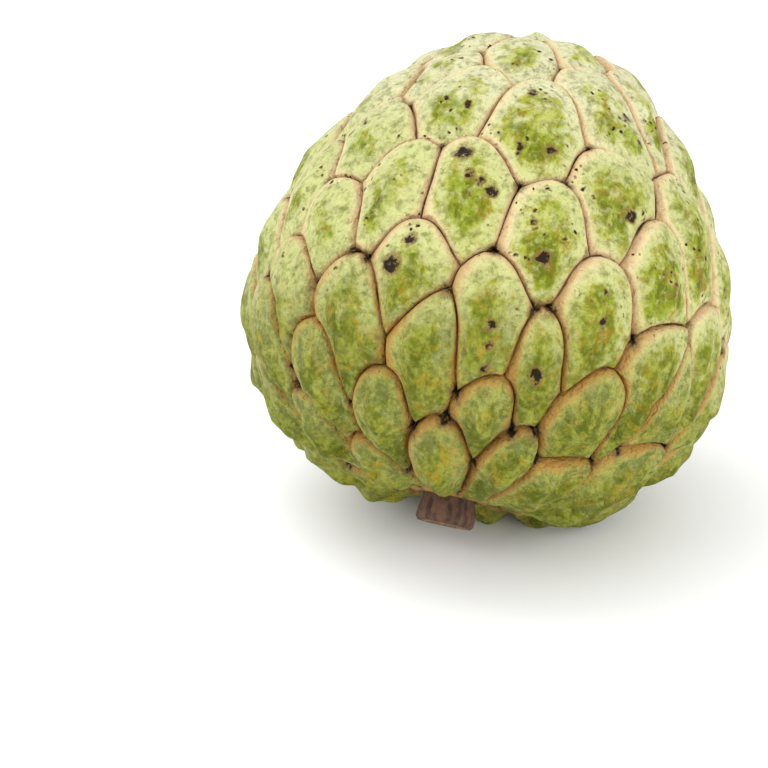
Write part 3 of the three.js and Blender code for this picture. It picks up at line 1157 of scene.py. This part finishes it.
    def stitch(self, index: Array, loops: Loops, peaks: Array) -> Array:
        """Triangles between neighbouring rings and round each scale's middle.

        Args:
            index: Point numbers as rings by samples.
            loops: The samples round every scale.
            peaks: Point numbers of the scales' middles.

        Returns:
            Triangles as rows of three point numbers, facing outwards.
        """
        parts = []
        samples = np.arange(len(loops.scale))
        skip = {1: loops.following}
        skip[2] = loops.following[skip[1]]
        skip[4] = skip[2][skip[2]]
        for outer, inner in zip(index[:-1], index[1:]):
            gap_out, gap_in = (samples[row >= 0][1] for row in (outer, inner))
            at = samples[inner >= 0]
            onward = skip[int(gap_in)][at]
            if gap_out == gap_in:
                a, b, c, d = outer[at], outer[onward], inner[onward], inner[at]
                parts += [np.stack([a, b, c], 1), np.stack([a, c, d], 1)]
            else:
                halfway = skip[int(gap_out)][at]
                a, b, c = outer[at], outer[halfway], outer[onward]
                d, e = inner[at], inner[onward]
                parts += [np.stack([a, b, d], 1), np.stack([b, c, e], 1), np.stack([b, e, d], 1)]
        last = index[-1]
        at = samples[last >= 0]
        parts.append(np.stack([last[at], last[skip[4][at]], peaks[loops.scale[at]]], 1))
        return np.vstack(parts)

    def scars(self, marks: dict[int, Array]) -> list[tuple[Array, float, float]]:
        """Places of the scars where the fruit lies.

        Args:
            marks: The point at each scale's middle, upright.

        Returns:
            For each scar its centre, radius and softness.
        """
        placed = []
        for number, scars in SCARS.items():
            middle = marks[number]
            distance, way = np.linalg.norm(middle), unit(middle)
            rise = distance - self.body.radius_at(way)
            up = heading(way, TIPWARD)
            right = np.cross(up, way)
            for across, along, radius, softness in scars:
                spot = unit(way + (right * across + up * along) / distance)
                fall = self.crown_fall * (math.hypot(across, along) / self.crown_reach) ** 2
                spot = spot * (self.body.radius_at(spot) + rise * (1.0 - fall))
                placed.append((self.pose.lay_down(spot), radius, softness))
        return placed

    def build(self, finish: SkinFinish) -> bpy.types.Object:
        """Makes the skin's object and dresses it.

        Args:
            finish: The skin's colours.

        Returns:
            The object, which stands for the CAD fruit.
        """
        surface, marks = self.surface()
        piece = surface.to_object("fruit_skin")
        piece.data.materials.append(finish.build(self.scars(marks)))
        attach(piece, "root")
        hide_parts("fruit")
        LOG.info("fruit_skin: %d triangles, %d scales", len(surface.triangles), len(marks) - 1)
        return piece


@dataclass
class StemStub:
    """The short woody stub in its socket, wider and knottier at its cut end."""

    body: Body
    pose: Pose
    radius: float = 4.5
    flare: float = 0.7
    reach: float = 5.5
    gap: float = 0.4
    socket_depth: float = 5.0
    sides: int = 72
    rings: int = 40
    end_rings: tuple[float, ...] = (0.86, 0.68, 0.48, 0.28, 0.1)
    knot_height: float = 0.25
    ridge_height: float = 0.1
    fine_ridge_height: float = 0.08
    hollow_depth: float = 0.5
    fibres: int = 17

    def surface(self) -> Surface:
        """Works out the stub as a profile carried round its axis.

        The radius flares towards the cut end, with three broad knots and fine lengthwise ridges.
        The cut end is drawn in to its middle and slightly hollow.

        Returns:
            The closed surface.
        """
        floor = -float(self.body.radius_at(-TIPWARD)) + self.socket_depth - self.gap
        length = self.socket_depth - self.gap + self.reach
        turn = 2 * math.pi * np.arange(self.sides) / self.sides
        shares = np.linspace(0.0, 1.0, self.rings)
        share, around = np.meshgrid(shares, turn, indexing="ij")
        out = smooth((share - 0.4) / 0.3)
        flare = self.flare * smooth((share - 0.4) / 0.5) - 0.5 * smooth((share - 0.93) / 0.07)
        knots = self.knot_height * np.sin(3 * around + 1)
        ridges = self.ridge_height * np.sin(self.fibres * around + 2.0 * np.sin(5 * share))
        ridges += self.fine_ridge_height * np.sin(29 * around + 9 * share)
        radius = self.radius + flare + (knots + ridges) * out
        side = np.stack(
            [radius * np.cos(around), radius * np.sin(around), floor - length * share], axis=-1
        )
        drawn = np.array(self.end_rings)
        cap = side[-1][None] * np.array([1, 1, 0]) * drawn[:, None, None]
        hollow = self.hollow_depth * (1 - drawn**2)
        grain = 0.12 * np.sin(7 * turn)[None] * drawn[:, None]
        cap[..., 2] = floor - length + hollow[:, None] + grain
        base = side[0][None] * np.array([1, 1, 0]) * drawn[::-1][:, None, None]
        base[..., 2] = floor
        grid = np.concatenate([base, side, cap])
        rows = len(grid)
        ids = np.arange(rows * self.sides).reshape(rows, self.sides)
        after = np.roll(ids, -1, axis=1)
        low, low_next = ids[:-1].ravel(), after[:-1].ravel()
        high, high_next = ids[1:].ravel(), after[1:].ravel()
        poles = rows * self.sides + np.arange(2)
        triangles = np.vstack(
            [
                np.stack([low, high, high_next], 1),
                np.stack([low, high_next, low_next], 1),
                np.stack([np.full(self.sides, poles[0]), ids[0], after[0]], 1),
                np.stack([np.full(self.sides, poles[1]), after[-1], ids[-1]], 1),
            ]
        )
        ends = np.array([[0, 0, floor], [0, 0, floor - length + self.hollow_depth]])
        points = np.vstack([grid.reshape(-1, 3), ends])
        cut = np.zeros(len(points))
        cut[(len(drawn) + self.rings) * self.sides :] = 1.0
        fibre = np.append(0.5 + 0.5 * np.sin(self.fibres * np.tile(turn, rows)), [0.5, 0.5])
        return Surface(self.pose.lay_down(points), triangles, {"cut": cut, "fibre": fibre})

    def build(self, finish: WoodFinish) -> bpy.types.Object:
        """Makes the stub's object and dresses it.

        Args:
            finish: The wood's colours.

        Returns:
            The object, which stands for the CAD stub.
        """
        surface = self.surface()
        piece = surface.to_object("stub_wood")
        piece.data.materials.append(finish.build())
        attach(piece, "root")
        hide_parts("stem_stub")
        LOG.info("stub_wood: %d triangles", len(surface.triangles))
        return piece


class LightRole(Enum):
    """The studio's soft lights."""

    KEY = "key"
    FILL = "fill"
    LIFT = "lift"


# Each light's place and side in millimetres and its power in watts
LIGHTS: dict[LightRole, tuple[tuple[float, float, float], float, float]] = {
    LightRole.KEY: ((-300.0, 120.0, 680.0), 500.0, 2.2),
    LightRole.FILL: ((-560.0, -260.0, 380.0), 500.0, 1.6),
    LightRole.LIFT: ((520.0, -420.0, 260.0), 600.0, 3.0),
}


@dataclass
class Studio:
    """Pale floor, soft light and the camera."""

    pose: Pose
    elevation: float = 24.0
    distance: float = 594.0
    frame_width: float = 138.2
    aim_right: float = -20.5
    aim_up: float = -22.5
    floor_size: float = 6000.0
    surroundings: float = 1.1

    def floor(self) -> None:
        """Lays a large plain white floor."""
        corners = np.array([(-1, -1, 0), (1, -1, 0), (1, 1, 0), (-1, 1, 0)]) * self.floor_size / 2
        plane = Surface(corners, np.array([(0, 1, 2), (0, 2, 3)])).to_object("floor")
        sheet = NodeSheet("floor_white")
        grey = sheet.mix(sheet.noise(40.0, 2.0), (0.86, 0.87, 0.88), (0.88, 0.88, 0.89))
        plane.data.materials.append(sheet.finish(Base_Color=grey, Roughness=0.6))

    def lights(self) -> None:
        """Sets white surroundings, a high key and a fill on the left and a low lift on the right."""
        world = bpy.data.worlds.new("studio")
        bpy.context.scene.world = world
        world.use_nodes = True
        background = world.node_tree.nodes["Background"]
        background.inputs["Color"].default_value = (1.0, 1.0, 1.0, 1.0)
        background.inputs["Strength"].default_value = self.surroundings
        for role, (place, size, power) in LIGHTS.items():
            lamp = bpy.data.lights.new(role.value, "AREA")
            lamp.size = size * MM
            lamp.energy = power
            holder = show(role.value, lamp)
            holder.location = Vector(place) * MM
            away = Vector(self.pose.middle) * MM - holder.location
            holder.rotation_euler = away.to_track_quat("-Z", "Y").to_euler()
        bpy.context.scene.view_settings.view_transform = "Standard"

    def camera(self) -> None:
        """Places the camera above the floor in front, aimed past the fruit as in the photo."""
        tilt = math.radians(self.elevation)
        back = Vector((0.0, -math.cos(tilt), math.sin(tilt)))
        up = Vector((0.0, math.sin(tilt), math.cos(tilt)))
        middle = Vector(self.pose.middle)
        target = middle + Vector((1, 0, 0)) * self.aim_right + up * self.aim_up
        place = middle + back * self.distance
        lens = bpy.data.cameras.new("camera")
        lens.sensor_width = 36.0
        lens.lens = lens.sensor_width * self.distance / self.frame_width
        lens.clip_start = 0.01
        lens.clip_end = 20.0
        camera = show("camera", lens)
        camera.location = place * MM
        camera.rotation_euler = (target - place).to_track_quat("-Z", "Y").to_euler()
        bpy.context.scene.camera = camera

    def build(self) -> None:
        """Sets up the floor, the lights and the camera."""
        self.floor()
        self.lights()
        self.camera()
        LOG.info("studio: camera %.0f mm away at %.0f degrees", self.distance, self.elevation)


def main() -> None:
    """Builds the fruit, its stub and the studio in order."""
    logging.basicConfig(level=logging.INFO, format="%(name)s: %(message)s")
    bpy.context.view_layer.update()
    body, pose = Body(), Pose()
    FruitSkin(body, pose, ScaleSpiral(), Relief()).build(SkinFinish())
    StemStub(body, pose).build(WoodFinish())
    Studio(pose).build()


if __name__ == "__main__":
    main()
